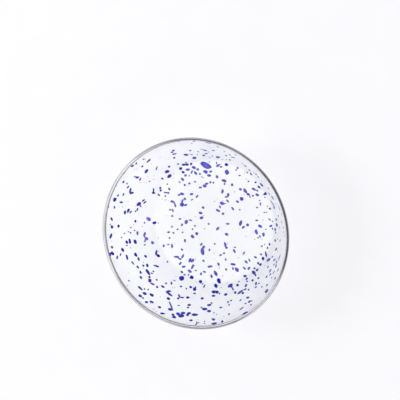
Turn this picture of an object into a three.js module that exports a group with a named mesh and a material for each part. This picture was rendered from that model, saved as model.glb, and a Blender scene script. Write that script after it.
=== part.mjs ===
// Enamel soup bowl: a pressed steel shell with two fired coats on each side and a steel band over its edge.
// Millimetres, +Z up. The bowl stands on z = 0 and its axis is the Z axis.
import * as THREE from 'three';

// Driving dimensions
const RIM_DIAMETER = 160; // over the rim band
const BOWL_HEIGHT = 62; // from the standing ring to the top of the rim band
const FLOOR_DIAMETER = 102; // inside, up to where the corner begins
const CORNER_RADIUS = 5; // inside, between floor and wall
const WALL_CURVE_RADIUS = 260; // inside, the slow curve of the wall
const STANDING_RING_WIDTH = 7; // the flat ring under the floor's edge
const FLOOR_RISE = 0.8; // the middle of the floor is domed up by this much

const STEEL_THICKNESS = 0.8;
const GROUND_COAT_THICKNESS = 0.12;
const COVER_COAT_THICKNESS = 0.18;

const BAND_THICKNESS = 0.65;
const BAND_LEG = 0.8; // how far the band reaches down each side of the shell's edge
const BAND_CLEARANCE = 0.05; // between the band's legs and the enamel
const EDGE_CLEARANCE = 0.1; // from the shell's edge to the middle of the band's round crown

// Fineness of the facets
const TURN_STEPS = 48;
const DOME_STEPS = 3;
const CORNER_STEPS = 3;
const WALL_STEPS = 4;
const CROWN_STEPS = 8;

// Depths below the inside surface at which one layer ends and the next begins
const insideGround = COVER_COAT_THICKNESS;
const insideSteel = insideGround + GROUND_COAT_THICKNESS;
const outsideSteel = insideSteel + STEEL_THICKNESS;
const outsideGround = outsideSteel + GROUND_COAT_THICKNESS;
const wallThickness = outsideGround + COVER_COAT_THICKNESS;

// The crown's centre lies on the wall's middle line, just above the shell's edge.
const channelHalfWidth = wallThickness / 2 + BAND_CLEARANCE;
const crownRadius = channelHalfWidth + BAND_THICKNESS;
const crownCentre = new THREE.Vector2(RIM_DIAMETER / 2 - crownRadius, BOWL_HEIGHT - crownRadius);

// The wall's arc runs through the crown's centre and continues the corner's arc without a kink.
const floorRadius = FLOOR_DIAMETER / 2;
const ringInnerRadius = floorRadius - STANDING_RING_WIDTH;
const cornerCentre = new THREE.Vector2(floorRadius, wallThickness + CORNER_RADIUS);
const wallMiddleRadius = WALL_CURVE_RADIUS + wallThickness / 2;
const cornerReach = WALL_CURVE_RADIUS - CORNER_RADIUS;
const wallCentre = meetingPoint(crownCentre, wallMiddleRadius, cornerCentre, cornerReach);
const cornerEnd = angleTowards(wallCentre, cornerCentre);
const crownAngle = angleTowards(wallCentre, crownCentre);
const edgeAngle = crownAngle - EDGE_CLEARANCE / wallMiddleRadius;
const legAngle = edgeAngle - BAND_LEG / wallMiddleRadius;

// Of the two points at these distances from a and b, the one nearer the axis
function meetingPoint(a, distanceA, b, distanceB) {
  const apart = a.distanceTo(b);
  const along = (apart ** 2 + distanceA ** 2 - distanceB ** 2) / (2 * apart);
  const aside = Math.sqrt(distanceA ** 2 - along ** 2);
  const direction = b.clone().sub(a).normalize();
  const foot = a.clone().addScaledVector(direction, along);
  const sideways = new THREE.Vector2(-direction.y, direction.x);
  const one = foot.clone().addScaledVector(sideways, aside);
  const other = foot.clone().addScaledVector(sideways, -aside);
  return one.x < other.x ? one : other;
}

function angleTowards(from, to) {
  return Math.atan2(to.y - from.y, to.x - from.x);
}

function onArc(centre, radius, angle) {
  return new THREE.Vector2(centre.x + radius * Math.cos(angle), centre.y + radius * Math.sin(angle));
}

function onWall(depth, angle) {
  return onArc(wallCentre, WALL_CURVE_RADIUS + depth, angle);
}

function between(start, end, step, steps) {
  return start + ((end - start) * step) / steps;
}

// Section line from the axis to the shell's edge, at a depth below the inside surface
function layerLine(depth) {
  const line = [];
  const floorHeight = wallThickness - depth;
  for (let step = 0; step <= DOME_STEPS; step += 1) {
    const radius = between(0, ringInnerRadius, step, DOME_STEPS);
    const rise = (FLOOR_RISE / 2) * (1 + Math.cos((Math.PI * step) / DOME_STEPS));
    line.push(new THREE.Vector2(radius, floorHeight + rise));
  }
  for (let step = 0; step <= CORNER_STEPS; step += 1) {
    const angle = between(-Math.PI / 2, cornerEnd, step, CORNER_STEPS);
    line.push(onArc(cornerCentre, CORNER_RADIUS + depth, angle));
  }
  for (let step = 1; step <= WALL_STEPS; step += 1) {
    line.push(onWall(depth, between(cornerEnd, legAngle, step, WALL_STEPS)));
  }
  line.push(onWall(depth, edgeAngle));
  return line;
}

// Closed outline of one layer of the bowl, from its outer line to its inner line
function layerOutline(innerDepth, outerDepth) {
  return [...layerLine(outerDepth), ...layerLine(innerDepth).reverse()];
}

// Half circle over the shell's edge, from the outer side to the inner side
function crownLine(radius) {
  const line = [];
  for (let step = 0; step <= CROWN_STEPS; step += 1) {
    line.push(onArc(crownCentre, radius, between(crownAngle, crownAngle + Math.PI, step, CROWN_STEPS)));
  }
  return line;
}

// Closed outline of the band: a channel that is open downwards and hugs both faces of the wall
function bandOutline() {
  const outside = [
    onWall(wallThickness + BAND_CLEARANCE + BAND_THICKNESS, legAngle),
    ...crownLine(crownRadius),
    onWall(-BAND_CLEARANCE - BAND_THICKNESS, legAngle),
  ];
  const channel = [
    onWall(wallThickness + BAND_CLEARANCE, legAngle),
    ...crownLine(channelHalfWidth),
    onWall(-BAND_CLEARANCE, legAngle),
  ];
  return [...outside, ...channel.reverse(), outside[0]];
}

function turned(name, outline, colour, roughness, metalness) {
  const geometry = new THREE.LatheGeometry(outline, TURN_STEPS);
  geometry.rotateX(Math.PI / 2);
  const material = new THREE.MeshStandardMaterial({ color: colour, roughness, metalness });
  const mesh = new THREE.Mesh(geometry, material);
  mesh.name = name;
  return mesh;
}

const STEEL_GREY = 0x8b8e90;
const GROUND_COAT_BLUE = 0x1d2340;
const ENAMEL_WHITE = 0xf3f3f1;
const POLISHED_STEEL = 0xc8cacc;

const bowl = new THREE.Group();
bowl.name = 'enamel_soup_bowl';
bowl.add(
  turned('inside_cover_coat', layerOutline(0, insideGround), ENAMEL_WHITE, 0.1, 0),
  turned('inside_ground_coat', layerOutline(insideGround, insideSteel), GROUND_COAT_BLUE, 0.4, 0),
  turned('steel_shell', layerOutline(insideSteel, outsideSteel), STEEL_GREY, 0.45, 1),
  turned('outside_ground_coat', layerOutline(outsideSteel, outsideGround), GROUND_COAT_BLUE, 0.4, 0),
  turned('outside_cover_coat', layerOutline(outsideGround, wallThickness), ENAMEL_WHITE, 0.1, 0),
  turned('rim_band', bandOutline(), POLISHED_STEEL, 0.18, 1),
);

export default bowl;
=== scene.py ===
"""Looks of the enamel soup bowl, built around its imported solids. Metres, Z up, the bowl stands on z = 0."""

import math
import random

import bmesh
import bpy
from mathutils import Matrix, Vector
from mathutils.bvhtree import BVHTree


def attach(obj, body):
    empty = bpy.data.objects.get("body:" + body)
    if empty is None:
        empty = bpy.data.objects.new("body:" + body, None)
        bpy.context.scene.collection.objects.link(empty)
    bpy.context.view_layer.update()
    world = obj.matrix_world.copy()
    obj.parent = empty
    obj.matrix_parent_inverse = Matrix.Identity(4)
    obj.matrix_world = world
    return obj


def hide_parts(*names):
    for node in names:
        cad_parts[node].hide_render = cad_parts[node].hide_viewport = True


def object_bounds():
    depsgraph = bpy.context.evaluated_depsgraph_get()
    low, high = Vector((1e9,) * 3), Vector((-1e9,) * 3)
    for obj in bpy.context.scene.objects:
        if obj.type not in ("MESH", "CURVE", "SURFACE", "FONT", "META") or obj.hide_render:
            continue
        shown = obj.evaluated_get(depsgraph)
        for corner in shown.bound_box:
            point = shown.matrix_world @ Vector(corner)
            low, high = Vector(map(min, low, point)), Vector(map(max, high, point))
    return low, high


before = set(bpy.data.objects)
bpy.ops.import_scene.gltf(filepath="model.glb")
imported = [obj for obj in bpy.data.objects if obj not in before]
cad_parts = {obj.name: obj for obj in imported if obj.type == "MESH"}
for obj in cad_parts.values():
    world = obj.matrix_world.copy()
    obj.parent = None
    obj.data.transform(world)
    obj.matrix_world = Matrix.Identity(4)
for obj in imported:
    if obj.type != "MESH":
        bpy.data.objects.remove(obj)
cad_low, cad_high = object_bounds()
MM = 0.001
SPLATTER_SEED = 7
rng = random.Random(SPLATTER_SEED)

# Sizes of the bowl, the same as the solids have
RIM_RADIUS = cad_high.x
BOWL_HEIGHT = cad_high.z
FLOOR_RADIUS = 51 * MM
CORNER_RADIUS = 5 * MM
WALL_CURVE_RADIUS = 260 * MM
STANDING_RING_WIDTH = 7 * MM
FLOOR_RISE = 0.8 * MM
STEEL_THICKNESS = 0.8 * MM
GROUND_COAT = 0.12 * MM
COVER_COAT = 0.18 * MM
BAND_THICKNESS = 0.65 * MM
BAND_LEG = 0.8 * MM
BAND_CLEARANCE = 0.05 * MM
EDGE_CLEARANCE = 0.1 * MM

# Fineness of the smooth pieces
FINE_TURNS = 256
HIDDEN_TURNS = 128
DOME_STEPS = 12
CORNER_STEPS = 10
WALL_STEPS = 24
CROWN_STEPS = 28
LEG_STEPS = 3
LEG_END_STEPS = 6

# Points in a fleck's outline and rings in its dome
PHOTO_FLECK_MESH = (20, 3)
OUTSIDE_FLECK_MESH = (14, 3)
FINE_SPATTER_MESH = (10, 2)

# The camera, as the photograph's rim and floor ellipses give it. Camera axes: right, up, backwards.
PHOTO_SIDE = 400  # pixels
SENSOR_WIDTH = 36  # millimetres, as the lens is
LENS = 90
BOWL_AXIS_IN_VIEW = Vector((-0.2898, -0.1557, 0.9443)).normalized()
RIM_CENTRE_IN_VIEW = Vector((-5.36, -28.45, -818.2)) * MM

# Splatter flecks: thin domes of blue enamel, set a little into the white
FLECK_HEIGHT = 0.035 * MM
FLECK_SINK = 0.02 * MM
DOME_POWER = 4  # the higher, the flatter a dome's top
RING_POWER = 1.5  # the higher, the closer to its edge a dome's rings lie
WAVE_COUNTS = (2, 3, 4)  # waves round an outline
LEAST_WAVE = 0.02  # size of a wave, as a share of the outline's own size
MOST_WAVE = 0.2  # divided by the number of waves
BLOOM = 1.25  # the sides below are those of a fleck's dark core, and its edge lies further out
DRAWN_IN = 0.9  # step by which an outline is drawn in
SLANT_STRETCH = 2  # on a wall seen at a slant a fleck is at most this much longer than it looks

# The flecks that the photograph shows best, read off it: x, y, long and short side in its pixels,
# and the long side's turn in degrees, clockwise from level. Flecks that overlap make one blot.
PHOTO_FLECKS = {
    "upper left wall": [
        (123.9, 172.2, 4.8, 2.4, -60), (115.2, 185.2, 3.6, 2.2, -70), (132.4, 166.0, 3.4, 1.6, -25),
        (136.3, 163.5, 2.4, 1.4, -65), (148.6, 160.8, 4.8, 1.7, -45), (146.4, 171.2, 4.2, 2.6, -50),
        (137.2, 177.4, 3.6, 2.2, 5), (134.6, 176.5, 2.0, 1.0, 20), (140.2, 179.3, 3.0, 1.6, -60),
        (123.4, 182.0, 2.6, 1.8, -50), (142.3, 166.4, 2.4, 1.5, -45),
    ],
    "top wall": [
        (157.0, 147.0, 3.2, 1.8, -60), (168.7, 142.8, 3.0, 1.6, 10), (178.6, 141.4, 2.6, 1.8, 0),
        (208.2, 142.6, 5.6, 1.6, 12), (173.3, 150.6, 2.6, 1.6, -10), (172.0, 152.3, 3.0, 1.2, -5),
        (174.4, 154.0, 4.4, 1.3, -12), (174.2, 157.8, 2.2, 1.8, -40), (186.0, 154.8, 4.2, 2.0, 0),
        (190.2, 150.6, 2.4, 1.2, -10), (194.4, 157.9, 3.6, 2.2, 0), (169.1, 166.7, 2.2, 1.8, 0),
        (156.6, 168.3, 3.8, 1.3, -70), (167.1, 171.6, 4.2, 2.8, -10), (169.4, 176.1, 4.0, 3.2, -45),
        (162.3, 178.6, 2.2, 1.8, 0), (183.6, 164.7, 3.2, 2.2, 0), (186.8, 164.6, 3.2, 2.2, 0),
        (191.1, 164.0, 2.2, 2.2, 0), (180.7, 168.5, 2.8, 2.8, 0), (187.8, 169.6, 3.8, 2.2, -12),
        (193.9, 167.6, 3.8, 2.6, 20), (183.1, 172.2, 3.2, 1.8, 25), (191.8, 172.0, 3.6, 1.6, -60),
        (195.6, 173.1, 3.8, 2.2, 55), (197.7, 169.4, 2.6, 2.2, 0), (185.5, 175.4, 2.8, 2.0, -5),
        (182.5, 179.3, 4.0, 2.0, 50), (189.3, 183.5, 2.0, 2.0, 0),
    ],
    "upper right wall": [
        (205.0, 150.3, 3.6, 1.2, 5), (203.8, 155.4, 2.4, 1.6, 0), (217.9, 157.2, 3.8, 1.8, 0),
        (206.0, 165.5, 10.2, 5.0, 28), (203.0, 163.6, 3.8, 3.4, 0), (217.8, 165.6, 3.4, 2.2, -25),
        (216.5, 163.0, 2.6, 1.0, 80), (219.4, 164.6, 1.6, 1.2, -40), (226.4, 164.6, 3.2, 2.6, 0),
        (226.9, 172.2, 4.6, 3.8, 70), (237.6, 168.0, 1.8, 1.8, 0), (239.6, 175.5, 2.2, 1.4, -15),
        (205.4, 171.6, 4.2, 2.6, 10), (206.2, 172.8, 2.0, 2.0, 0), (210.7, 171.6, 2.8, 2.0, 0),
        (209.1, 175.5, 3.6, 2.4, 5), (199.9, 174.0, 2.0, 1.8, 0), (217.0, 176.8, 3.4, 2.2, 65),
        (224.0, 180.7, 4.6, 2.6, 20), (210.4, 182.2, 2.2, 1.8, 90), (206.6, 183.8, 3.2, 2.2, -20),
        (204.6, 186.0, 3.6, 2.6, 25), (232.1, 184.8, 2.6, 2.2, 90), (245.4, 165.9, 3.0, 1.4, 40),
        (249.4, 170.2, 2.6, 1.4, 30), (251.0, 173.9, 3.0, 1.6, 45), (256.0, 174.2, 2.6, 1.2, 45),
        (255.6, 182.4, 1.8, 1.8, 0), (261.5, 184.8, 4.4, 1.6, 50),
    ],
    "left wall": [
        (112.5, 190.8, 2.0, 1.6, -60), (107.8, 206.7, 2.2, 2.2, 0), (128.0, 187.1, 3.2, 1.4, -50),
        (130.3, 190.6, 5.2, 1.9, -80), (131.8, 193.0, 4.2, 1.8, -15), (123.4, 194.5, 2.6, 1.6, -75),
        (118.0, 195.5, 2.8, 1.3, -45), (114.8, 199.6, 4.2, 2.8, -65), (121.2, 202.3, 3.6, 1.7, 8),
        (114.5, 207.3, 2.8, 1.4, 85), (138.8, 204.0, 4.8, 2.8, -45), (140.5, 206.0, 2.4, 1.4, 60),
        (143.4, 200.5, 3.2, 1.5, -40), (144.8, 202.4, 3.8, 1.3, -35), (137.4, 209.4, 3.0, 1.6, -70),
        (128.3, 210.6, 4.0, 2.4, -65), (125.0, 212.4, 3.6, 2.2, -75), (130.6, 212.1, 3.4, 1.3, -50),
        (111.7, 219.1, 3.4, 1.8, 65), (112.0, 227.0, 3.2, 2.4, 90), (118.5, 226.1, 3.2, 1.9, 90),
        (135.4, 221.2, 2.6, 1.8, 85), (148.6, 219.1, 4.8, 3.0, 35), (137.5, 233.2, 4.0, 1.9, 88),
        (145.0, 233.5, 3.0, 1.8, 90),
    ],
    "floor, left and middle": [
        (153.5, 190.2, 4.0, 1.4, 90), (153.5, 192.9, 3.0, 2.2, 0), (160.2, 188.0, 2.4, 1.8, 90),
        (160.7, 190.5, 2.0, 2.0, 0), (158.9, 194.9, 2.6, 1.5, 35), (166.0, 192.6, 4.0, 1.5, 5),
        (169.2, 189.0, 2.6, 1.9, 50), (182.0, 193.9, 4.0, 2.4, 0), (178.9, 195.0, 2.6, 1.8, -20),
        (191.5, 194.1, 3.2, 2.2, 0), (172.4, 201.6, 3.6, 2.2, 15), (174.5, 203.3, 3.0, 1.6, 60),
        (175.3, 205.8, 2.6, 1.8, 60), (184.9, 198.9, 2.6, 2.2, 90), (182.4, 201.0, 4.0, 1.6, -65),
        (181.9, 204.6, 4.0, 3.6, 0), (185.4, 205.0, 3.8, 1.8, -5), (197.0, 196.5, 3.2, 1.8, -50),
        (172.7, 210.4, 3.0, 1.6, 65), (154.4, 222.8, 3.6, 2.4, -25), (182.0, 224.9, 2.6, 1.7, -40),
        (168.6, 232.2, 2.8, 1.7, -15), (186.2, 222.0, 4.0, 3.0, 90), (190.4, 220.2, 3.2, 1.4, 10),
        (200.4, 187.5, 2.8, 1.9, 0), (203.1, 207.6, 2.6, 2.2, 20), (200.6, 213.0, 3.6, 2.4, 10),
        (201.5, 217.8, 3.4, 2.6, -20), (208.7, 223.9, 2.0, 1.8, 0),
    ],
    "floor, right": [
        (222.5, 191.4, 4.2, 2.2, -85), (228.2, 194.6, 3.0, 2.2, 70), (226.6, 196.8, 3.4, 1.8, -10),
        (227.6, 201.0, 3.4, 1.6, 50), (221.9, 203.2, 3.8, 3.2, 10), (220.0, 206.9, 2.6, 1.7, 75),
        (218.0, 210.5, 4.2, 2.2, 30), (223.0, 213.7, 2.4, 2.2, 0), (240.4, 189.3, 2.6, 2.4, 0),
        (245.2, 190.9, 5.0, 2.8, 55), (241.6, 198.8, 4.0, 3.0, 50), (237.5, 201.6, 3.0, 2.0, 35),
        (232.7, 208.6, 3.6, 1.8, 50), (217.7, 228.6, 3.8, 2.2, -55), (227.7, 223.8, 3.2, 1.9, 8),
        (240.6, 223.1, 5.6, 2.4, -75), (243.3, 227.3, 3.2, 2.2, -35), (248.3, 194.3, 3.2, 2.2, 20),
        (250.0, 196.6, 2.4, 1.2, 70), (253.8, 189.2, 4.4, 2.0, 25), (257.2, 190.6, 2.2, 1.6, 30),
        (258.9, 187.0, 3.0, 1.8, 50), (257.2, 194.8, 3.8, 2.2, 35), (247.6, 224.9, 2.8, 2.6, 30),
        (260.4, 204.0, 3.0, 1.6, 80), (256.7, 220.4, 2.8, 1.7, -5), (260.1, 226.2, 4.2, 2.4, 30),
        (256.4, 232.0, 5.0, 2.6, 75), (263.5, 234.5, 3.6, 2.5, 85),
    ],
    "right wall": [
        (265.5, 193.6, 2.8, 2.4, 0), (264.3, 194.6, 3.2, 1.0, -10), (272.5, 197.6, 4.4, 1.2, 60),
        (272.3, 203.3, 7.0, 0.9, 58), (274.2, 207.4, 3.0, 2.0, 70), (269.9, 208.7, 2.2, 1.6, 45),
        (269.6, 219.5, 3.2, 1.2, 40), (276.2, 219.6, 2.6, 1.6, 60), (276.8, 224.8, 3.6, 1.5, 80),
        (270.8, 226.0, 3.0, 1.8, -20), (275.2, 229.6, 2.8, 1.7, 85), (269.5, 244.3, 2.4, 1.6, 90),
        (267.5, 247.9, 2.2, 1.4, -75), (275.0, 240.5, 3.0, 1.4, 65), (276.1, 249.3, 3.2, 1.5, -65),
        (266.0, 254.3, 5.4, 1.5, 75), (261.0, 254.3, 2.4, 1.8, 30), (263.0, 258.5, 3.2, 2.4, 85),
        (268.5, 259.9, 4.2, 2.4, -45), (272.2, 256.8, 2.2, 1.2, -65), (274.4, 259.9, 3.4, 1.4, -40),
        (276.6, 262.0, 2.6, 1.2, -80), (276.0, 266.0, 3.6, 1.3, -70), (270.2, 270.7, 4.2, 1.3, -62),
        (270.2, 274.4, 2.6, 1.2, -60), (266.5, 276.7, 3.0, 1.1, -50), (275.1, 278.2, 2.6, 1.2, -60),
    ],
    "lower left wall": [
        (110.9, 236.0, 5.0, 2.2, -75), (112.0, 247.2, 2.6, 1.9, 65), (109.8, 254.6, 3.6, 2.4, 70),
        (112.4, 253.4, 4.4, 2.4, 45), (117.2, 257.4, 3.4, 1.7, -80), (120.5, 254.6, 3.2, 1.2, -75),
        (122.6, 249.8, 4.2, 2.4, 60), (126.8, 242.2, 3.6, 2.2, 65), (129.8, 241.2, 4.6, 2.3, 80),
        (135.2, 241.8, 4.4, 2.8, 65), (127.0, 257.2, 5.0, 2.0, 72), (135.7, 254.7, 4.4, 2.3, 55),
        (138.6, 259.0, 3.8, 1.9, 75), (132.7, 262.9, 4.0, 1.4, 50), (137.8, 267.1, 3.0, 1.8, 50),
        (143.4, 265.7, 2.4, 1.7, 45), (147.3, 265.4, 3.6, 2.1, 65), (145.6, 256.3, 3.2, 1.9, 45),
        (147.9, 272.1, 6.6, 2.4, 55), (140.6, 272.4, 3.4, 1.7, 70), (140.9, 277.5, 3.2, 1.9, 60),
        (149.5, 277.0, 2.2, 2.0, 0), (149.8, 280.5, 4.0, 2.8, 60), (146.4, 238.8, 3.4, 3.2, 0),
        (144.8, 241.2, 2.0, 1.4, 0), (144.2, 235.8, 3.6, 1.4, 75), (152.5, 242.7, 3.4, 2.4, 55),
        (156.3, 252.5, 4.6, 2.0, -80), (158.2, 255.7, 3.8, 2.4, 25), (156.4, 266.1, 5.4, 1.6, 20),
        (151.8, 273.3, 2.4, 1.3, 25),
    ],
    "floor, near side": [
        (163.7, 245.9, 2.6, 1.8, -80), (172.0, 246.0, 4.0, 2.0, 88), (182.0, 249.6, 2.6, 1.8, 40),
        (176.6, 256.9, 4.8, 2.0, 5), (179.8, 258.9, 3.4, 1.6, 25), (182.7, 256.3, 4.4, 2.0, -60),
        (180.3, 263.4, 3.2, 2.1, -55), (183.7, 266.7, 3.6, 2.0, -8), (189.9, 260.2, 4.2, 2.2, -70),
        (192.5, 260.6, 4.0, 2.6, -40), (192.6, 266.9, 4.8, 2.0, -55), (189.8, 271.2, 4.2, 2.4, 35),
        (181.9, 272.0, 2.4, 1.8, 50), (181.6, 278.3, 4.6, 4.4, 90), (191.7, 277.4, 3.4, 3.2, 90),
        (185.0, 240.7, 3.4, 1.8, 88), (192.5, 236.5, 3.6, 2.8, 45), (196.7, 233.6, 2.8, 2.8, 0),
        (201.3, 244.3, 3.4, 1.8, -55), (202.5, 251.5, 6.6, 3.4, 88), (203.6, 247.2, 3.4, 2.4, -50),
        (209.4, 249.9, 2.4, 1.7, 90), (203.5, 260.8, 2.6, 1.5, 50), (210.0, 266.5, 5.0, 2.0, -8),
        (204.4, 271.8, 3.0, 1.7, 30), (201.0, 273.8, 2.8, 1.9, -75), (211.5, 276.2, 3.6, 2.0, 70),
        (225.4, 245.1, 5.6, 2.2, 75), (220.6, 255.1, 2.6, 1.7, -30), (225.7, 259.5, 2.6, 1.5, 70),
        (234.3, 251.0, 4.0, 1.9, 65), (243.9, 253.2, 3.4, 1.6, -65), (218.5, 264.2, 3.4, 2.0, 60),
        (215.6, 273.3, 5.4, 2.8, 60), (233.0, 264.3, 5.2, 1.9, 8), (233.0, 268.5, 2.8, 1.6, 75),
        (236.9, 269.7, 5.0, 2.8, 50), (226.6, 234.3, 3.2, 2.6, 20), (259.9, 236.4, 2.8, 1.4, 60),
    ],
    "lower right wall": [
        (255.5, 257.3, 3.0, 1.8, 35), (249.4, 260.2, 3.0, 1.6, 55), (246.2, 261.9, 3.8, 2.0, 35),
        (258.1, 263.2, 2.4, 1.8, 60), (260.5, 264.6, 2.5, 2.5, 0), (248.9, 268.3, 3.4, 2.0, -50),
        (254.5, 268.3, 1.9, 1.9, 0), (257.1, 269.9, 2.8, 2.0, -45), (253.8, 272.6, 4.2, 2.8, 40),
        (255.3, 274.8, 3.0, 1.8, 60), (244.3, 268.2, 4.0, 1.6, 45), (245.0, 276.0, 3.0, 2.2, 0),
        (258.4, 278.1, 2.2, 1.6, -60), (252.5, 280.3, 2.4, 1.8, -50), (246.7, 278.8, 2.6, 1.8, -50),
        (230.4, 285.6, 5.0, 3.0, -35), (231.8, 287.2, 3.6, 1.4, 55), (233.0, 289.3, 2.2, 1.5, 20),
        (237.5, 285.1, 2.6, 2.4, 0), (240.3, 292.0, 6.8, 1.8, -37), (242.8, 293.0, 2.6, 2.0, -50),
        (235.2, 292.6, 2.8, 2.0, -60), (225.7, 294.5, 3.2, 2.4, -30), (241.5, 308.5, 5.0, 1.1, -38),
        (245.9, 285.6, 3.4, 1.9, -60), (245.2, 289.3, 3.0, 1.4, -25), (247.7, 297.6, 3.4, 1.8, -10),
        (249.2, 301.7, 3.0, 1.6, -45), (256.0, 283.6, 3.0, 1.9, -75), (255.8, 287.2, 2.4, 1.2, -45),
        (266.9, 285.1, 2.6, 1.2, -50), (266.7, 291.0, 4.6, 2.6, -65), (245.0, 313.0, 6.0, 1.4, -30),
    ],
    "near wall, left": [
        (140.2, 288.1, 5.6, 1.8, 42), (144.7, 293.5, 3.8, 2.6, 25), (140.2, 295.9, 3.8, 2.2, 30),
        (146.5, 302.1, 3.0, 2.0, 25), (152.4, 283.9, 4.6, 1.5, 25), (157.1, 287.0, 2.4, 1.8, 40),
        (162.8, 286.6, 3.4, 2.0, 25), (171.4, 283.2, 3.0, 1.6, 90), (151.7, 295.0, 4.2, 2.6, 40),
        (151.7, 302.0, 4.0, 2.0, 20), (168.8, 291.2, 4.4, 1.8, 0), (167.3, 292.2, 2.8, 2.4, 60),
        (169.6, 294.2, 6.2, 1.9, 35), (168.4, 298.6, 3.2, 2.4, 15), (171.0, 305.8, 9.6, 1.3, 66),
        (170.0, 309.4, 3.8, 2.4, 10), (159.5, 307.2, 3.0, 2.0, 20), (162.5, 313.5, 4.4, 1.8, 5),
        (173.0, 314.7, 2.8, 2.0, 10), (174.0, 317.1, 4.0, 2.2, 5), (178.0, 313.8, 3.6, 2.6, 10),
        (181.2, 315.8, 5.2, 3.2, 5), (183.0, 313.0, 4.4, 2.2, 5), (187.5, 315.0, 2.6, 2.2, 0),
        (189.0, 313.3, 3.8, 2.0, -10), (194.8, 314.7, 5.4, 2.6, 0), (191.0, 320.3, 3.0, 1.8, 0),
        (179.2, 295.8, 3.4, 1.6, 55), (182.0, 297.5, 3.8, 1.4, 0), (178.2, 298.3, 2.2, 2.0, 0),
    ],
    "near wall, right": [
        (187.7, 297.5, 3.2, 2.2, 0), (189.2, 305.0, 3.2, 2.0, 0), (188.0, 307.5, 2.4, 1.4, 0),
        (181.0, 286.4, 2.2, 1.6, 0), (190.7, 287.1, 2.6, 2.2, 15), (194.6, 289.2, 3.2, 3.2, 0),
        (195.6, 287.3, 2.0, 1.2, -60), (194.5, 293.4, 2.6, 1.5, 0), (200.5, 281.7, 3.0, 3.0, 0),
        (204.2, 286.2, 3.4, 1.3, -70), (215.9, 285.8, 4.2, 2.8, 55), (213.8, 291.9, 4.0, 2.8, 0),
        (217.0, 292.1, 3.4, 2.6, 0), (213.5, 295.8, 3.2, 2.0, -5), (202.2, 298.4, 2.8, 2.0, 0),
        (209.2, 305.0, 3.8, 2.2, -5), (204.7, 309.0, 4.8, 2.6, 5), (209.0, 311.1, 3.8, 2.2, -8),
        (213.4, 319.4, 3.4, 2.2, 0), (214.2, 323.5, 5.2, 2.0, -15), (222.3, 321.5, 2.6, 1.8, -40),
        (220.8, 307.5, 2.8, 1.5, -15), (218.9, 280.8, 5.0, 3.0, 60), (196.3, 324.0, 3.2, 1.2, -45),
        (240.4, 300.2, 2.8, 1.2, -40), (231.1, 300.5, 2.0, 1.3, -25), (229.0, 314.1, 2.2, 1.5, -35),
        (198.3, 322.7, 2.4, 0.8, -20), (196.7, 322.3, 2.0, 0.8, 80),
    ],
}

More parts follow.
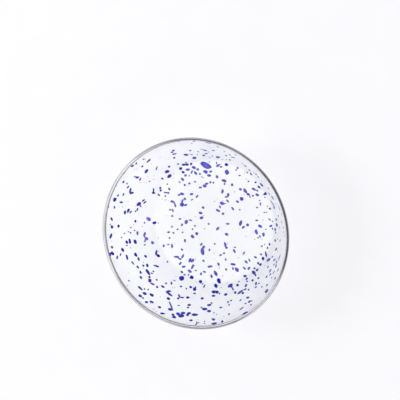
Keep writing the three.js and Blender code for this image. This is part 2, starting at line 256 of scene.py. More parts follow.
# Smaller and paler ones, read in the same way
PHOTO_SPATTER = [
    (143.7, 159.3, 2.2, 1.2, -25), (127.0, 183.6, 1.8, 1.6, 0), (149.6, 181.4, 1.6, 1.2, 0),
    (193.9, 141.4, 2.4, 1.4, 20), (178.0, 164.1, 2.0, 1.6, 0), (167.3, 184.2, 1.5, 1.5, 0),
    (186.0, 162.5, 1.8, 1.2, 0), (179.6, 182.1, 1.8, 1.6, 0), (195.0, 181.8, 2.0, 1.6, 0),
    (184.8, 185.0, 2.0, 2.0, 0), (226.2, 155.6, 2.4, 1.4, 15), (229.8, 159.8, 2.2, 1.3, 35),
    (221.0, 166.8, 2.2, 1.8, 0), (236.2, 170.0, 1.8, 1.4, 0), (213.4, 182.7, 1.6, 1.6, 0),
    (224.5, 184.0, 2.0, 1.6, 90), (258.2, 176.8, 2.4, 1.2, 45), (248.5, 181.4, 2.0, 1.4, 0),
    (135.5, 211.3, 1.8, 1.4, 0), (144.5, 222.8, 1.6, 1.6, 0), (134.5, 230.4, 1.6, 1.6, 0),
    (130.5, 232.8, 1.9, 1.6, 90), (168.4, 193.0, 1.8, 1.8, 40), (165.3, 196.1, 1.6, 1.6, 0),
    (192.0, 199.7, 2.2, 1.2, -30), (170.1, 209.8, 2.0, 1.6, 0), (172.2, 216.0, 2.2, 1.6, 0),
    (180.0, 218.9, 2.2, 1.8, 0), (172.0, 226.7, 2.2, 1.4, -25), (177.6, 229.3, 1.8, 1.5, 0),
    (173.4, 232.9, 1.8, 1.8, 0), (182.5, 232.4, 1.6, 1.6, 0), (194.9, 225.8, 1.8, 1.8, 0),
    (192.5, 229.2, 1.6, 1.6, 0), (224.5, 203.6, 2.2, 1.2, 0), (239.8, 209.7, 1.6, 1.6, 0),
    (252.9, 195.7, 2.0, 1.8, 0), (269.2, 193.8, 2.2, 1.1, 55), (257.0, 207.5, 2.0, 1.4, 0),
    (272.4, 228.6, 1.8, 1.4, 90), (275.6, 232.7, 2.0, 1.4, 90), (128.9, 280.7, 2.0, 1.3, 30),
    (144.7, 244.8, 1.8, 1.6, 0), (168.2, 244.4, 2.0, 1.3, 0), (169.6, 238.0, 2.0, 1.6, 90),
    (193.3, 265.3, 2.4, 1.6, 0), (195.8, 270.6, 1.8, 1.5, 0), (184.5, 274.7, 2.0, 1.8, 0),
    (188.5, 274.8, 1.6, 1.6, 0), (167.4, 261.8, 2.0, 1.6, 50), (153.4, 271.4, 1.7, 1.7, 0),
    (156.7, 279.8, 2.2, 1.6, 40), (174.4, 280.6, 2.0, 1.1, 0), (214.7, 243.9, 1.8, 1.6, 90),
    (202.5, 283.8, 1.6, 1.4, 0), (226.5, 247.9, 2.4, 1.8, -10), (224.0, 253.2, 1.8, 1.8, 0),
    (234.9, 247.4, 2.6, 1.1, 0), (226.1, 269.4, 2.2, 1.8, 90), (238.9, 281.5, 1.8, 1.2, 0),
    (258.0, 237.7, 2.0, 1.2, 35), (261.8, 246.3, 1.8, 1.8, 0), (274.0, 264.7, 2.0, 1.3, -50),
    (267.9, 267.0, 2.4, 1.2, -50), (247.0, 281.4, 2.0, 1.4, 0), (144.5, 289.0, 2.0, 1.4, 90),
    (148.2, 289.5, 1.8, 1.5, 0), (143.0, 298.0, 1.8, 1.8, 0), (166.1, 283.4, 2.2, 1.8, 0),
    (178.7, 305.5, 2.2, 1.2, 0), (186.4, 288.6, 1.6, 1.6, 0), (219.5, 293.5, 1.6, 1.6, 0),
    (211.5, 303.0, 1.8, 1.8, 0), (201.5, 307.5, 2.0, 1.2, 40), (228.0, 302.0, 2.0, 2.0, 0),
    (229.1, 304.8, 2.0, 1.4, -25), (248.6, 289.7, 2.0, 1.6, -50), (251.2, 300.9, 2.4, 1.2, -15),
    (245.5, 303.5, 2.0, 1.4, -25), (251.0, 304.7, 2.0, 1.6, 0), (258.9, 283.4, 1.8, 1.8, 0),
    (261.8, 286.8, 2.0, 1.2, -45), (204.5, 321.4, 1.4, 1.2, 0), (204.5, 323.4, 1.2, 1.0, 0),
    (214.0, 312.8, 1.6, 1.2, -30), (216.6, 314.5, 1.2, 1.0, 0), (110.3, 224.4, 1.4, 1.2, 0),
    (124.5, 233.4, 1.5, 1.5, 0), (130.9, 227.5, 1.8, 1.0, 0), (128.4, 231.7, 1.4, 1.2, 60),
    (121.6, 237.5, 1.4, 1.4, 0), (126.9, 245.5, 2.0, 1.2, 0), (130.5, 247.8, 1.2, 1.0, 90),
    (264.3, 212.4, 1.4, 1.2, 0), (266.4, 212.5, 1.3, 1.2, 0), (272.5, 221.4, 1.4, 1.3, 0),
    (265.9, 229.4, 1.4, 1.2, 90), (277.2, 239.0, 1.6, 1.0, 60), (280.0, 240.6, 2.4, 1.0, -70),
    (264.6, 244.4, 1.2, 1.2, 0), (191.7, 143.3, 1.6, 1.0, 0), (202.0, 149.3, 3.0, 0.6, 0),
    (213.3, 150.5, 2.4, 1.2, 0), (208.5, 151.9, 1.2, 1.2, 0), (206.1, 153.6, 2.6, 1.2, 0),
    (198.2, 151.6, 1.6, 1.2, 0), (191.4, 154.5, 3.2, 0.8, 5), (197.5, 154.7, 1.2, 1.2, 0),
    (212.4, 156.1, 1.4, 1.4, 0), (209.6, 157.6, 1.2, 1.2, 0), (222.5, 159.4, 1.2, 1.2, 0),
    (226.4, 159.4, 1.2, 1.2, 0), (229.7, 154.8, 2.6, 1.0, 35), (233.0, 157.4, 4.0, 0.9, 12),
    (224.4, 151.3, 2.2, 0.6, 20), (217.8, 146.9, 3.0, 0.7, 25), (235.5, 154.9, 3.0, 0.6, 30),
    (242.5, 163.5, 1.4, 1.0, 40), (209.4, 162.0, 1.2, 1.0, 0), (253.6, 172.4, 1.4, 1.2, 40),
    (247.2, 172.4, 1.6, 1.4, 0), (201.5, 176.5, 1.2, 1.0, 0), (203.0, 177.6, 1.2, 1.0, 0),
    (261.9, 181.2, 1.2, 0.9, 45), (268.5, 188.5, 2.4, 0.8, 50), (264.9, 197.4, 1.4, 1.2, 0),
    (259.5, 200.5, 1.4, 1.2, 0), (267.4, 206.4, 1.2, 1.1, 0), (275.5, 203.9, 1.3, 0.9, 70),
    (279.2, 208.2, 5.0, 0.5, 72), (278.3, 215.9, 2.0, 0.7, 70), (281.5, 214.5, 3.0, 0.5, 75),
    (281.7, 222.3, 3.0, 0.5, 80), (279.6, 227.7, 1.4, 0.8, 80), (283.3, 227.7, 2.2, 0.6, 85),
    (283.4, 232.3, 2.0, 0.6, 88), (284.2, 235.9, 1.8, 0.5, 90), (277.5, 251.4, 1.4, 1.0, 60),
    (279.2, 257.7, 6.0, 0.8, 112), (278.0, 270.0, 3.0, 0.9, 110), (273.7, 272.3, 4.0, 0.8, 115),
    (271.6, 277.7, 1.6, 0.9, 110),
]

# Middles of the flecks on the wall that take the floor flecks' paler colour, a painted reflection of a bright
# light over them
REFLECTION_PAINTED_WALL_FLECKS = [
    (148.6, 219.1), (137.5, 233.2), (145.0, 233.5),
    (146.4, 238.8), (152.5, 242.7), (163.7, 245.9),
]

# The fine spatter between them, and the splatter on the outside, which the photograph doesn't show
FINE_SPATTER_COUNT = 260
FINE_SPATTER_SIDES = (0.6 * MM, 1.4 * MM)
FINE_SPATTER_SPACING = 2  # least distance from the photograph's flecks, in sides of its own
OUTSIDE_FLECK_COUNT = 330
OUTSIDE_FLECK_SIDES = (1.6 * MM, 4.6 * MM)
OUTSIDE_SPATTER_COUNT = 280
SMALL_FLECK_BIAS = 2  # the higher, the more of those on the outside are small
SHORT_SIDE_SHARES = (0.5, 0.95)
STANDING_CLEARANCE = 2 * FLECK_HEIGHT  # none reaches lower than this
BAND_MARGIN = 1 * MM  # no middle lies closer below the band


# Section of the bowl: points are (distance from the axis, height)

def meeting_point(a, reach_a, b, reach_b):
    """Of the two points at these distances from a and b, the one nearer the axis."""
    apart = (b - a).length
    along = (apart ** 2 + reach_a ** 2 - reach_b ** 2) / (2 * apart)
    aside = math.sqrt(reach_a ** 2 - along ** 2)
    direction = (b - a) / apart
    sideways = Vector((-direction.y, direction.x))
    foot = a + direction * along
    return min(foot + sideways * aside, foot - sideways * aside, key=lambda p: p.x)


def angle_towards(start, end):
    return math.atan2(end.y - start.y, end.x - start.x)


def on_arc(centre, radius, angle):
    return centre + Vector((math.cos(angle), math.sin(angle))) * radius


def spread(start, end, steps):
    return [start + (end - start) * k / steps for k in range(steps + 1)]


wall_thickness = STEEL_THICKNESS + 2 * (GROUND_COAT + COVER_COAT)
channel_half_width = wall_thickness / 2 + BAND_CLEARANCE
crown_radius = channel_half_width + BAND_THICKNESS
crown_centre = Vector((RIM_RADIUS - crown_radius, BOWL_HEIGHT - crown_radius))
corner_centre = Vector((FLOOR_RADIUS, wall_thickness + CORNER_RADIUS))
wall_middle_radius = WALL_CURVE_RADIUS + wall_thickness / 2
corner_reach = WALL_CURVE_RADIUS - CORNER_RADIUS
wall_centre = meeting_point(crown_centre, wall_middle_radius, corner_centre, corner_reach)
corner_end = angle_towards(wall_centre, corner_centre)
crown_angle = angle_towards(wall_centre, crown_centre)
edge_angle = crown_angle - EDGE_CLEARANCE / wall_middle_radius
leg_angle = edge_angle - BAND_LEG / wall_middle_radius
ring_inner_radius = FLOOR_RADIUS - STANDING_RING_WIDTH


def on_wall(depth, angle):
    return on_arc(wall_centre, WALL_CURVE_RADIUS + depth, angle)


def layer_line(depth, top_angle):
    """Section line from the axis to top_angle on the wall, at a depth below the inside surface."""
    line = []
    for radius in spread(0, ring_inner_radius, DOME_STEPS):
        rise = FLOOR_RISE / 2 * (1 + math.cos(math.pi * radius / ring_inner_radius))
        line.append(Vector((radius, wall_thickness - depth + rise)))
    for angle in spread(-math.pi / 2, corner_end, CORNER_STEPS):
        line.append(on_arc(corner_centre, CORNER_RADIUS + depth, angle))
    for angle in spread(corner_end, top_angle, WALL_STEPS)[1:]:
        line.append(on_wall(depth, angle))
    return line


def layer_outline(inner_depth, outer_depth):
    return layer_line(outer_depth, edge_angle) + layer_line(inner_depth, edge_angle)[::-1]


round_end_angle = leg_angle + BAND_THICKNESS / 2 / wall_middle_radius


def leg_end(inner_depth, outer_depth):
    """Half circle that rounds off the lower end of one of the band's legs."""
    middle = on_wall((inner_depth + outer_depth) / 2, round_end_angle)
    start = angle_towards(middle, on_wall(inner_depth, round_end_angle))
    turns = spread(start, start + math.pi, LEG_END_STEPS)
    return [on_arc(middle, BAND_THICKNESS / 2, angle) for angle in turns]


def band_outline():
    """Closed outline of the band: outer leg, over the crown, inner leg, and back through the channel."""
    crown_angles = spread(crown_angle, crown_angle + math.pi, CROWN_STEPS)
    leg_angles = spread(round_end_angle, crown_angle, LEG_STEPS)[1:-1]
    outer_channel = wall_thickness + BAND_CLEARANCE
    outer_skin = outer_channel + BAND_THICKNESS
    inner_channel = -BAND_CLEARANCE
    inner_skin = inner_channel - BAND_THICKNESS
    outline = [on_wall(outer_skin, angle) for angle in leg_angles]
    outline += [on_arc(crown_centre, crown_radius, angle) for angle in crown_angles]
    outline += [on_wall(inner_skin, angle) for angle in leg_angles[::-1]]
    outline += leg_end(inner_skin, inner_channel)
    outline += [on_wall(inner_channel, angle) for angle in leg_angles]
    outline += [on_arc(crown_centre, channel_half_width, angle) for angle in crown_angles[::-1]]
    outline += [on_wall(outer_channel, angle) for angle in leg_angles[::-1]]
    outline += leg_end(outer_channel, outer_skin)
    return outline


# Meshes

def new_piece(name, vertices, faces, material):
    """Object with smooth faces that look outwards."""
    mesh = bpy.data.meshes.new(name)
    mesh.from_pydata([tuple(v) for v in vertices], [], faces)
    shape = bmesh.new()
    shape.from_mesh(mesh)
    bmesh.ops.recalc_face_normals(shape, faces=shape.faces)
    for face in shape.faces:
        face.smooth = True
    shape.to_mesh(mesh)
    shape.free()
    mesh.materials.append(material)
    piece = bpy.data.objects.new(name, mesh)
    bpy.context.scene.collection.objects.link(piece)
    return piece


def ring_faces(rings):
    """Faces between neighbouring rings of vertex numbers. A ring that repeats one number is a point."""
    faces = []
    for ring, next_ring in zip(rings, rings[1:]):
        for k in range(len(ring)):
            corners = [ring[k - 1], ring[k], next_ring[k], next_ring[k - 1]]
            faces.append(list(dict.fromkeys(corners)))
    return faces


def turned(outline, turns, closed):
    """Vertices and faces of an outline turned about Z. An open outline starts and ends on the axis."""
    vertices = []
    rings = []
    for point in outline:
        first = len(vertices)
        if point.x == 0:
            vertices.append((0, 0, point.y))
            rings.append([first] * turns)
            continue
        rings.append(list(range(first, first + turns)))
        for turn in range(turns):
            angle = 2 * math.pi * turn / turns
            vertices.append((point.x * math.cos(angle), point.x * math.sin(angle), point.y))
    if closed:
        rings.append(rings[0])
    return vertices, ring_faces(rings)


# Materials. Textures are noise with a scale, in ripples per metre, and a number of finer octaves.

ENAMEL_IOR = 1.52
CLOUD_OCTAVES = 3
CLOUD_THIN = 0.35  # noise value with the thin colour
CLOUD_THICK = 0.65
GLOSS_PATCHES = (60, 2)
ORANGE_PEEL = (700, 2)
ORANGE_PEEL_STRENGTH = 0.12
STEEL_PATCHES = (90, 3)
STEEL_DARK = 0.3  # noise value with the dark colour
STEEL_LIGHT = 0.7
STEEL_LINE_OCTAVES = 3
STEEL_LINE_STRENGTH = 0.03
BUMP_HEIGHT = 0.02 * MM
SHADE_LINE_REACH = 1.15 * MM  # reach of the painted shade line, from the ends of the band's legs up
FULLY_SHADED_SHARE = 0.7  # share of it below the fade to polished steel
# colour of the painted shade in the gap between the band's legs and the enamel
PAINTED_SHADE_COLOUR = (0.03, 0.028, 0.042, 1)


def new_material(name):
    material = bpy.data.materials.new(name)
    material.use_nodes = True
    nodes = material.node_tree.nodes
    return material, nodes, material.node_tree.links, nodes["Principled BSDF"]


def noise_node(nodes, links, scale, octaves):
    """Noise in the object's own coordinates."""
    place = nodes.new("ShaderNodeTexCoord")
    texture = nodes.new("ShaderNodeTexNoise")
    texture.inputs["Scale"].default_value = scale
    texture.inputs["Detail"].default_value = octaves
    links.new(place.outputs["Object"], texture.inputs["Vector"])
    return texture.outputs["Fac"]


def ramp_node(nodes, links, source, *stops):
    """Colour that follows a value. Each stop is a value and its colour."""
    ramp = nodes.new("ShaderNodeValToRGB")
    elements = ramp.color_ramp.elements
    elements[0].position = stops[0][0]
    elements[1].position = stops[-1][0]
    for position, _ in stops[1:-1]:
        elements.new(position)
    for element, (_, colour) in zip(elements, stops):
        element.color = (*colour, 1)
    links.new(source, ramp.inputs["Fac"])
    return ramp.outputs["Color"]


def range_node(nodes, links, source, low, high):
    """Value from low to high that follows one from 0 to 1."""
    mapped = nodes.new("ShaderNodeMapRange")
    mapped.inputs["To Min"].default_value = low
    mapped.inputs["To Max"].default_value = high
    links.new(source, mapped.inputs["Value"])
    return mapped.outputs["Result"]


def bump_node(nodes, links, source, shader, strength, distance):
    bump = nodes.new("ShaderNodeBump")
    bump.inputs["Strength"].default_value = strength
    bump.inputs["Distance"].default_value = distance
    links.new(source, bump.inputs["Height"])
    links.new(bump.outputs["Normal"], shader.inputs["Normal"])


def enamel_material(name, thin_colour, thick_colour, cloud_scale, roughness, mirroring):
    """Fired enamel: cloudy colour, slightly uneven gloss and a fine orange-peel surface."""
    material, nodes, links, shader = new_material(name)
    clouds = noise_node(nodes, links, cloud_scale, CLOUD_OCTAVES)
    colour = ramp_node(nodes, links, clouds, (CLOUD_THIN, thin_colour), (CLOUD_THICK, thick_colour))
    links.new(colour, shader.inputs["Base Color"])
    patches = noise_node(nodes, links, *GLOSS_PATCHES)
    links.new(range_node(nodes, links, patches, *roughness), shader.inputs["Roughness"])
    peel = noise_node(nodes, links, *ORANGE_PEEL)
    bump_node(nodes, links, peel, shader, ORANGE_PEEL_STRENGTH, BUMP_HEIGHT)
    shader.inputs["IOR"].default_value = ENAMEL_IOR
    shader.inputs["Specular IOR Level"].default_value = mirroring
    return material


def fleck_material(name, thin_colour, thick_colour):
    return enamel_material(
        name, thin_colour, thick_colour,
        cloud_scale=260, roughness=(0.15, 0.22), mirroring=0.25,
    )


def section_node(nodes, links):
    """Distance from the bowl's axis and height, as X and Y of a vector."""
    place = nodes.new("ShaderNodeTexCoord")
    split = nodes.new("ShaderNodeSeparateXYZ")
    links.new(place.outputs["Object"], split.inputs["Vector"])
    across = nodes.new("ShaderNodeCombineXYZ")
    links.new(split.outputs["X"], across.inputs["X"])
    links.new(split.outputs["Y"], across.inputs["Y"])
    radius = nodes.new("ShaderNodeVectorMath")
    radius.operation = "LENGTH"
    links.new(across.outputs["Vector"], radius.inputs[0])
    section = nodes.new("ShaderNodeCombineXYZ")
    links.new(radius.outputs["Value"], section.inputs["X"])
    links.new(split.outputs["Z"], section.inputs["Y"])
    return section.outputs["Vector"]


def steel_material(name, dark, light, line_scale, roughness):
    """Steel with fine lines that run round the bowl's axis."""
    material, nodes, links, shader = new_material(name)
    shader.inputs["Metallic"].default_value = 1
    patches = noise_node(nodes, links, *STEEL_PATCHES)
    colour = ramp_node(nodes, links, patches, (STEEL_DARK, dark), (STEEL_LIGHT, light))
    links.new(colour, shader.inputs["Base Color"])
    texture = nodes.new("ShaderNodeTexNoise")
    texture.inputs["Scale"].default_value = line_scale
    texture.inputs["Detail"].default_value = STEEL_LINE_OCTAVES
    links.new(section_node(nodes, links), texture.inputs["Vector"])
    lines = texture.outputs["Fac"]
    links.new(range_node(nodes, links, lines, *roughness), shader.inputs["Roughness"])
    bump_node(nodes, links, lines, shader, STEEL_LINE_STRENGTH, BUMP_HEIGHT)
    return material


def paint_shade_at_legs(material):
    """Paint shade into the band's colour from the ends of its legs up to where its crown begins, for the gap
    where they meet the enamel.
    """
    nodes = material.node_tree.nodes
    links = material.node_tree.links
    base = nodes["Principled BSDF"].inputs["Base Color"]
    polished = base.links[0].from_socket
    along = nodes.new("ShaderNodeVectorMath")
    along.operation = "DOT_PRODUCT"
    wall_direction = Vector((-math.sin(leg_angle), math.cos(leg_angle)))
    along.inputs[1].default_value = (*wall_direction, 0)
    links.new(section_node(nodes, links), along.inputs[0])
    # mask of the painted shade: 0 at the legs' ends, 1 where the polished steel shows again
    out_of_painted_shade = nodes.new("ShaderNodeMapRange")
    leg_end_place = on_wall(0, leg_angle).dot(wall_direction)
    out_of_painted_shade.inputs["From Min"].default_value = leg_end_place + FULLY_SHADED_SHARE * SHADE_LINE_REACH
    out_of_painted_shade.inputs["From Max"].default_value = leg_end_place + SHADE_LINE_REACH
    links.new(along.outputs["Value"], out_of_painted_shade.inputs["Value"])
    mix = nodes.new("ShaderNodeMixRGB")
    mix.inputs["Color1"].default_value = PAINTED_SHADE_COLOUR
    links.new(out_of_painted_shade.outputs["Result"], mix.inputs["Fac"])
    links.new(polished, mix.inputs["Color2"])
    links.new(mix.outputs["Color"], base)


white_enamel = enamel_material(
    "white_enamel", (0.85, 0.852, 0.86), (0.865, 0.866, 0.873),
    cloud_scale=25, roughness=(0.3, 0.36), mirroring=0.4,
)
ground_enamel = enamel_material(
    "ground_enamel", (0.01, 0.013, 0.035), (0.02, 0.025, 0.06),
    cloud_scale=200, roughness=(0.3, 0.45), mirroring=0.5,
)
fleck_deep = fleck_material("fleck_deep", (0.005, 0.006, 0.25), (0.013, 0.015, 0.46))
# Paler copy of the fleck colour: painted reflection of a bright light, on the floor's flecks and those listed
# on the wall
fleck_painted_reflection = fleck_material("fleck_painted_reflection", (0.07, 0.07, 0.42), (0.13, 0.125, 0.62))
fleck_slate = fleck_material("fleck_slate", (0.05, 0.05, 0.22), (0.14, 0.14, 0.38))
shell_steel = steel_material(
    "shell_steel", (0.30, 0.30, 0.31), (0.42, 0.42, 0.43),
    line_scale=3000, roughness=(0.35, 0.5),
)
band_steel = steel_material(
    "band_steel", (0.70, 0.686, 0.72), (0.76, 0.745, 0.78),
    line_scale=4000, roughness=(0.14, 0.18),
)
# painted shade along the ends of the band's legs, where they meet the enamel
paint_shade_at_legs(band_steel)


# The pressed shell, its coats and the band. A layer lies between two depths below the inside surface.

inside_ground = COVER_COAT
inside_steel = inside_ground + GROUND_COAT
outside_steel = inside_steel + STEEL_THICKNESS
outside_ground = outside_steel + GROUND_COAT
bowl_pieces = []


def add_layer(name, node, inner_depth, outer_depth, turns, material):
    piece = new_piece(name, *turned(layer_outline(inner_depth, outer_depth), turns, False), material)
    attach(piece, "root")
    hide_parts(node)
    bowl_pieces.append(piece)
    return piece


inside_enamel = add_layer(
    "inside_enamel", "inside_cover_coat",
    0, inside_ground, FINE_TURNS, white_enamel,
)
add_layer(
    "inside_ground_enamel", "inside_ground_coat",
    inside_ground, inside_steel, HIDDEN_TURNS, ground_enamel,
)
add_layer(
    "pressed_shell", "steel_shell",
    inside_steel, outside_steel, HIDDEN_TURNS, shell_steel,
)
add_layer(
    "outside_ground_enamel", "outside_ground_coat",
    outside_steel, outside_ground, HIDDEN_TURNS, ground_enamel,
)
outside_enamel = add_layer(
    "outside_enamel", "outside_cover_coat",
    outside_ground, wall_thickness, FINE_TURNS, white_enamel,
)
band = new_piece("crimped_rim_band", *turned(band_outline(), FINE_TURNS, True), band_steel)
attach(band, "root")
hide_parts("rim_band")
bowl_pieces.append(band)

# Camera

view_right = (Vector((1, 0, 0)) - BOWL_AXIS_IN_VIEW * BOWL_AXIS_IN_VIEW.x).normalized()
view_up = BOWL_AXIS_IN_VIEW.cross(view_right)
to_bowl = Matrix((view_right, view_up, BOWL_AXIS_IN_VIEW))
rim_centre = Vector((0, 0, crown_centre.y))
eye = rim_centre + to_bowl @ -RIM_CENTRE_IN_VIEW

camera_data = bpy.data.cameras.new("camera")
camera_data.sensor_width = SENSOR_WIDTH
camera_data.lens = LENS
camera = bpy.data.objects.new("camera", camera_data)
camera.matrix_world = Matrix.Translation(eye) @ to_bowl.to_4x4()
bpy.context.scene.collection.objects.link(camera)
bpy.context.scene.camera = camera


# Splatter

def surface_of(piece):
    mesh = piece.data
    return BVHTree.FromPolygons([v.co for v in mesh.vertices], [p.vertices for p in mesh.polygons])


inside_surface = surface_of(inside_enamel)
outside_surface = surface_of(outside_enamel)
focal_pixels = LENS / SENSOR_WIDTH * PHOTO_SIDE
pixel_size = -RIM_CENTRE_IN_VIEW.z / focal_pixels


def seen_at(x, y):
    """Place and normal of the inside enamel at a pixel of the photograph."""
    ray = to_bowl @ Vector((x - PHOTO_SIDE / 2, PHOTO_SIDE / 2 - y, -focal_pixels))
    return inside_surface.ray_cast(eye, ray.normalized())[:2]


def ragged_oval(long_side, short_side, turn, points):
    """Offsets of an oval's outline with a few slow waves in it."""
    waves = []
    for count in WAVE_COUNTS:
        size = rng.uniform(LEAST_WAVE, MOST_WAVE / count)
        phase = rng.uniform(0, 2 * math.pi)
        waves.append((count, size, phase))
    offsets = []
    for k in range(points):
        angle = 2 * math.pi * k / points
        share = 1 + sum(size * math.sin(count * angle + phase) for count, size, phase in waves)
        along = long_side / 2 * share * math.cos(angle)
        across = short_side / 2 * share * math.sin(angle)
        offsets.append((
            along * math.cos(turn) - across * math.sin(turn),
            along * math.sin(turn) + across * math.cos(turn),
        ))
    return offsets


def add_fleck(vertices, faces, offsets, rings, on_surface):
    """Thin closed dome over an outline. on_surface gives place and normal at an offset."""
    points = len(offsets)

    def add_ring(share, height):
        first = len(vertices)
        for u, v in offsets:
            place, normal = on_surface(u * share, v * share)
            vertices.append(place + normal * height)
        return list(range(first, first + points))

    def add_middle(height):
        place, normal = on_surface(0, 0)
        vertices.append(place + normal * height)
        return [len(vertices) - 1] * points

    outline = add_ring(1, -FLECK_SINK)
    shares = [1 - (ring / rings) ** RING_POWER for ring in range(1, rings)]
    top = [add_ring(share, FLECK_HEIGHT * (1 - share ** DOME_POWER)) for share in shares]
    bottom = [add_ring(share, -FLECK_SINK) for share in shares]
    faces += ring_faces([outline, *top, add_middle(FLECK_HEIGHT)])
    faces += ring_faces([outline, *bottom, add_middle(-FLECK_SINK)])


def random_spot(line):
    """Random point on a turned section line, evenly spread over its area."""
    stretches = list(zip(line, line[1:]))
    areas = [(a.x + b.x) * (b - a).length for a, b in stretches]
    a, b = rng.choices(stretches, weights=areas)[0]
    point = a.lerp(b, rng.random())
    angle = rng.uniform(0, 2 * math.pi)
    return Vector((point.x * math.cos(angle), point.x * math.sin(angle), point.y))


def add_random_fleck(shape, spot, surface, long_side, points, rings):
    """Fleck of random shape on a surface, nearest to the spot. It is left out where the bowl stands."""
    middle, normal, _, _ = surface.find_nearest(spot)
    around = normal.orthogonal().normalized()
    up = normal.cross(around)
    short_side = long_side * rng.uniform(*SHORT_SIDE_SHARES)
    offsets = ragged_oval(long_side, short_side, rng.uniform(0, math.pi), points)

    def on_surface(u, v):
        return surface.find_nearest(middle + around * u + up * v)[:2]

    if min(on_surface(*offset)[0].z for offset in offsets) > STANDING_CLEARANCE:
        add_fleck(*shape, offsets, rings, on_surface)


def add_photo_fleck(shape, x, y, long_side, short_side, turn):
    """Fleck at a pixel of the photograph, drawn in where it leaves the enamel or reaches too far."""
    points, rings = PHOTO_FLECK_MESH
    middle = seen_at(x, y)[0]
    reach = SLANT_STRETCH * BLOOM * long_side / 2 * pixel_size
    offsets = []
    for u, v in ragged_oval(long_side * BLOOM, short_side * BLOOM, math.radians(turn), points):
        spot = seen_at(x + u, y + v)[0]
        while not spot or (spot - middle).length > reach:
            u *= DRAWN_IN
            v *= DRAWN_IN
            spot = seen_at(x + u, y + v)[0]
        offsets.append((u, v))
    add_fleck(*shape, offsets, rings, lambda u, v: seen_at(x + u, y + v))


def splatter_piece(name, vertices, faces, material):
    piece = new_piece(name, vertices, faces, material)
    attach(piece, "root")
    bowl_pieces.append(piece)


reflection_painted_flecks = ([], [])
deep_flecks = ([], [])
photo_spots = []
for region in PHOTO_FLECKS.values():
    for fleck in region:
        spot = seen_at(*fleck[:2])[0]
        photo_spots.append(spot)
        # Flecks on the floor and those listed on the wall take the paler copy, which paints a reflection
        gets_painted_reflection = spot.xy.length < FLOOR_RADIUS or fleck[:2] in REFLECTION_PAINTED_WALL_FLECKS
        add_photo_fleck(reflection_painted_flecks if gets_painted_reflection else deep_flecks, *fleck)
splatter_piece("reflection_painted_flecks", *reflection_painted_flecks, fleck_painted_reflection)
splatter_piece("deep_flecks", *deep_flecks, fleck_deep)

spatter = ([], [])
for fleck in PHOTO_SPATTER:
    photo_spots.append(seen_at(*fleck[:2])[0])
    add_photo_fleck(spatter, *fleck)
below_band = leg_angle - BAND_MARGIN / wall_middle_radius
inside_line = layer_line(0, below_band)
for _ in range(FINE_SPATTER_COUNT):
    spot = random_spot(inside_line)
    side = rng.uniform(*FINE_SPATTER_SIDES)
    if min((spot - other).length for other in photo_spots) > FINE_SPATTER_SPACING * side:
        add_random_fleck(spatter, spot, inside_surface, side, *FINE_SPATTER_MESH)
splatter_piece("inside_spatter", *spatter, fleck_slate)

outside_line = layer_line(wall_thickness, below_band)
for name, count, sides, material in (
    ("outside_flecks", OUTSIDE_FLECK_COUNT, OUTSIDE_FLECK_SIDES, fleck_deep),
    ("outside_spatter", OUTSIDE_SPATTER_COUNT, FINE_SPATTER_SIDES, fleck_slate),
):
    shape = ([], [])
    for _ in range(count):
        side = sides[0] + (sides[1] - sides[0]) * rng.random() ** SMALL_FLECK_BIAS
        spot = random_spot(outside_line)
        add_random_fleck(shape, spot, outside_surface, side, *OUTSIDE_FLECK_MESH)
    splatter_piece(name, *shape, material)


# Floor of white paper

FLOOR_SIDE = 8
FLOOR_DROP = 0.05 * MM  # from the bowl down to the paper
PAPER_GLOW = 2.94  # light shines through the paper, so shadows on it are faint
PAPER_ROUGHNESS = 0.9
PAPER_GRAIN = (40, 2)
PAPER_TONES = (0.3, (0.253, 0.2515, 0.2575)), (0.7, (0.257, 0.2555, 0.2615))


def paper_material():
    material, nodes, links, shader = new_material("floor_paper")
    colour = ramp_node(nodes, links, noise_node(nodes, links, *PAPER_GRAIN), *PAPER_TONES)
    links.new(colour, shader.inputs["Base Color"])
    links.new(colour, shader.inputs["Emission Color"])
    shader.inputs["Emission Strength"].default_value = PAPER_GLOW
    shader.inputs["Roughness"].default_value = PAPER_ROUGHNESS
    return material


half = FLOOR_SIDE / 2
floor_corners = [(-half, -half, 0), (half, -half, 0), (half, half, 0), (-half, half, 0)]
floor = new_piece("floor", floor_corners, [(0, 1, 2, 3)], paper_material())
floor.location.z = -FLOOR_DROP

# Light. The sky's and the room's colours go by height, from 0 at the horizon to 1 overhead.

SKY_STRENGTH = 1.378
SKY_WHITE = (0.95, 0.957, 1.0)
SKY_DARK = (0, 0, 0)
SKY_BELT = (0.12, SKY_DARK), (0.2, SKY_WHITE), (0.62, SKY_WHITE), (0.8, SKY_DARK)
ROOM = (0.05, (0.9, 0.9, 0.9)), (0.15, (0.135, 0.132, 0.155))
WALL_COLOUR = (0.93, 0.93, 0.94, 1)

# A key from above for the bowl, one from the left for the paper
KEY_SIDES = (0.6, 0.6)
BOWL_KEY_PLACE = rim_centre + Vector((0.25, -0.06, 1.58))
BOWL_KEY_RADIANCE = 16.8
BOWL_KEY_COLOUR = (0.99, 0.992, 1)
PAPER_KEY_PLACE = Vector((-1.1, 0.22, 1.15))
PAPER_KEY_RADIANCE = 8
PAPER_KEY_COLOUR = (1, 1, 1)

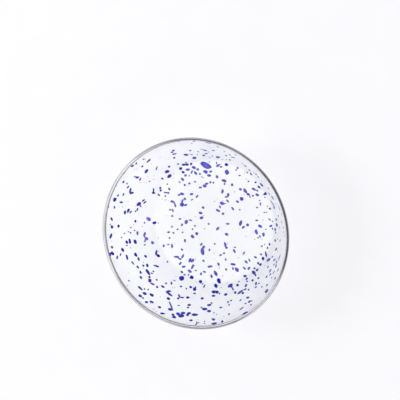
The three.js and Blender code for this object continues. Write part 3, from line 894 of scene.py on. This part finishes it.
# Strips over the rim, which only the band mirrors: middle and sides in millimetres, where the strip
# faces, and radiance. The last one draws a light line along the crown on the near side.
DOWN = (0, 0, -1)
TO_NEAR_SIDE = (0.7, -0.62, -0.35)
STRIP_COLOUR = (1, 1, 1)
RIM_STRIPS = {
    "left_strip": ((-125, -55, 60), (170, 150), DOWN, 0.95),
    "far_left_strip": ((-125, 75, 60), (170, 110), DOWN, 0.58),
    "inner_left_strip": ((-36, 12, 10), (72, 96), DOWN, 0.45),
    "near_strip": ((0, -104, 60), (80, 96), DOWN, 0.32),
    "near_right_strip": ((70, -100, 60), (60, 104), DOWN, 1.0),
    "far_strip": ((-20, 148, 60), (80, 105), DOWN, 0.6),
    "far_right_strip": ((85, 185, 60), (110, 150), DOWN, 0.55),
    "near_left_strip": ((-95, -190, 60), (110, 120), DOWN, 0.75),
    "near_outer_strip": ((0, -200, 60), (80, 96), DOWN, 0.7),
    "near_line": ((-22, 6, 48), (80, 34), TO_NEAR_SIDE, 1.5),
}


def studio_world():
    """Belt of soft sky. Gloss sees a dark room with a low white surround, the camera a pale wall."""
    world = bpy.data.worlds.new("studio")
    world.use_nodes = True
    nodes = world.node_tree.nodes
    links = world.node_tree.links
    place = nodes.new("ShaderNodeTexCoord")
    split = nodes.new("ShaderNodeSeparateXYZ")
    links.new(place.outputs["Generated"], split.inputs["Vector"])
    sky = nodes["Background"]
    links.new(ramp_node(nodes, links, split.outputs["Z"], *SKY_BELT), sky.inputs["Color"])
    sky.inputs["Strength"].default_value = SKY_STRENGTH
    room = nodes.new("ShaderNodeBackground")
    links.new(ramp_node(nodes, links, split.outputs["Z"], *ROOM), room.inputs["Color"])
    path = nodes.new("ShaderNodeLightPath")
    either = nodes.new("ShaderNodeMixShader")
    links.new(path.outputs["Is Glossy Ray"], either.inputs["Fac"])
    links.new(sky.outputs["Background"], either.inputs[1])
    links.new(room.outputs["Background"], either.inputs[2])
    wall = nodes.new("ShaderNodeBackground")
    wall.inputs["Color"].default_value = WALL_COLOUR
    seen = nodes.new("ShaderNodeMixShader")
    links.new(path.outputs["Is Camera Ray"], seen.inputs["Fac"])
    links.new(either.outputs["Shader"], seen.inputs[1])
    links.new(wall.outputs["Background"], seen.inputs[2])
    links.new(seen.outputs["Shader"], nodes["World Output"].inputs["Surface"])
    return world


def add_softbox(name, place, facing, sides, radiance, colour, lit_pieces):
    """Area light that shines on some pieces only and that the camera doesn't see."""
    data = bpy.data.lights.new(name, "AREA")
    data.shape = "RECTANGLE"
    data.size, data.size_y = sides
    data.energy = radiance * math.pi * data.size * data.size_y
    data.color = colour
    light = bpy.data.objects.new(name, data)
    light.location = place
    light.rotation_euler = (-facing).to_track_quat("Z", "Y").to_euler()
    light.visible_camera = False
    bpy.context.scene.collection.objects.link(light)
    lit = bpy.data.collections.new(name + "_lit")
    for piece in lit_pieces:
        lit.objects.link(piece)
    light.light_linking.receiver_collection = lit
    return light


bpy.context.scene.world = studio_world()
bowl_key = add_softbox(
    "bowl_key", BOWL_KEY_PLACE, rim_centre - BOWL_KEY_PLACE, KEY_SIDES,
    BOWL_KEY_RADIANCE, BOWL_KEY_COLOUR, bowl_pieces,
)
bowl_key.visible_glossy = False
add_softbox(
    "paper_key", PAPER_KEY_PLACE, -PAPER_KEY_PLACE, KEY_SIDES,
    PAPER_KEY_RADIANCE, PAPER_KEY_COLOUR, [floor],
)
for name, (middle, sides, facing, radiance) in RIM_STRIPS.items():
    place = rim_centre + Vector(middle) * MM
    lengths = [side * MM for side in sides]
    strip = add_softbox(name, place, Vector(facing), lengths, radiance, STRIP_COLOUR, [band])
    strip.visible_diffuse = False

bpy.context.scene.view_settings.view_transform = "Standard"
